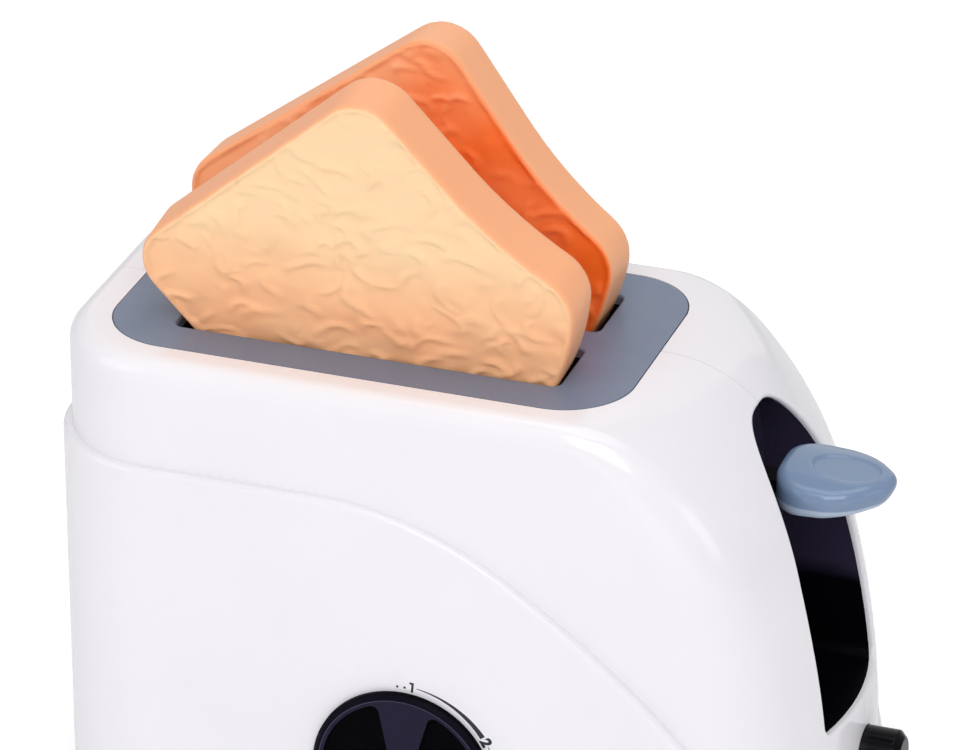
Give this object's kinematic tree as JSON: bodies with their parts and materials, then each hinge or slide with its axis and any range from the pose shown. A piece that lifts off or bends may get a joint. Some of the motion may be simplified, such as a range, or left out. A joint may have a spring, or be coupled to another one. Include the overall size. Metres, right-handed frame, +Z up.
{
  "type": "toy toaster",
  "caption": "Toy pop-up toaster: bow-nosed two-part housing with a raised skirt, two bread slots with plastic slices, sliding lever, round dial and release button.",
  "frame": {"origin": "centre of the base plate's underside, on the surface it stands on", "axes": "+X along the housing towards the lever, -Y out of the dial side, +Z up"},
  "size_m": [0.2002, 0.0966, 0.195],
  "materials": {
    "white_shell": "moulded high gloss white",
    "grey_insert": "moulded satin blue grey",
    "grey_lever": "moulded gloss blue grey",
    "black_trim": "moulded violet black",
    "black_inner": "moulded matt black",
    "base_grey": "moulded matt light grey",
    "toast": "moulded with a lightly pebbled surface",
    "nylon": "natural nylon",
    "steel": "drawn and zinc plated"
  },
  "bodies": {
    "housing": {"front_shell": "white_shell", "rear_shell": "white_shell", "top_insert": "grey_insert", "base_plate": "base_grey", "lever_bay": "black_trim", "bread_cage": "black_inner", "left_guide_rod": "steel", "right_guide_rod": "steel", "left_return_spring": "steel", "right_return_spring": "steel", "latch_pin": "steel", "button_spring": "steel", "click_spring": "steel", "clicker_case": "nylon", "clicker_cover": "nylon", "case_screws": "steel", "base_screws": "steel", "cage_screws": "steel", "bay_screws": "steel", "clicker_screws": "steel"},
    "carriage": {"bread_carriage": "black_inner", "lever_handle": "grey_lever", "lever_screw": "steel"},
    "button": {"release_button": "black_trim", "button_clip": "steel"},
    "latch": {"latch_hook": "nylon", "latch_spring": "steel"},
    "timer_dial": {"dial": "black_trim", "dial_shaft": "steel", "ratchet_wheel": "nylon"},
    "front_slice": {"toast_front": "toast"},
    "rear_slice": {"toast_rear": "toast"}
  },
  "joints": [
    {"name": "carriage_slide", "type": "slide", "parent": "housing", "child": "carriage", "axis": [0, 0, 1], "range_m": [-0.05, 0], "stiffness_N_per_m": 40, "springref_m": 0.02, "deforming": ["left_return_spring", "right_return_spring"]},
    {"name": "button_push", "type": "slide", "parent": "housing", "child": "button", "axis": [-1, 0, 0], "range_m": [0, 0.003], "stiffness_N_per_m": 150, "springref_m": -0.003, "deforming": ["button_spring"]},
    {"name": "latch_turn", "type": "hinge", "parent": "housing", "child": "latch", "pos_m": [0.053, 0, 0.022], "axis": [0, -1, 0], "range_deg": [0, 17.5], "deforming": ["latch_spring"]},
    {"name": "dial_turn", "type": "hinge", "parent": "housing", "child": "timer_dial", "pos_m": [-0.00384, -0.0474, 0.03246], "axis": [0, 1, 0], "range_deg": [0, 265]},
    {"name": "front_slice_lift", "type": "slide", "parent": "housing", "child": "front_slice", "axis": [0, -0.108, 0.9942], "range_m": [0, 0.07]},
    {"name": "rear_slice_lift", "type": "slide", "parent": "housing", "child": "rear_slice", "axis": [0, 0.0523, 0.9986], "range_m": [0, 0.07]}
  ],
  "couplings": [
    {"joint": "latch_turn", "follows": "button_push", "rad_per_m": 101.76}
  ]
}
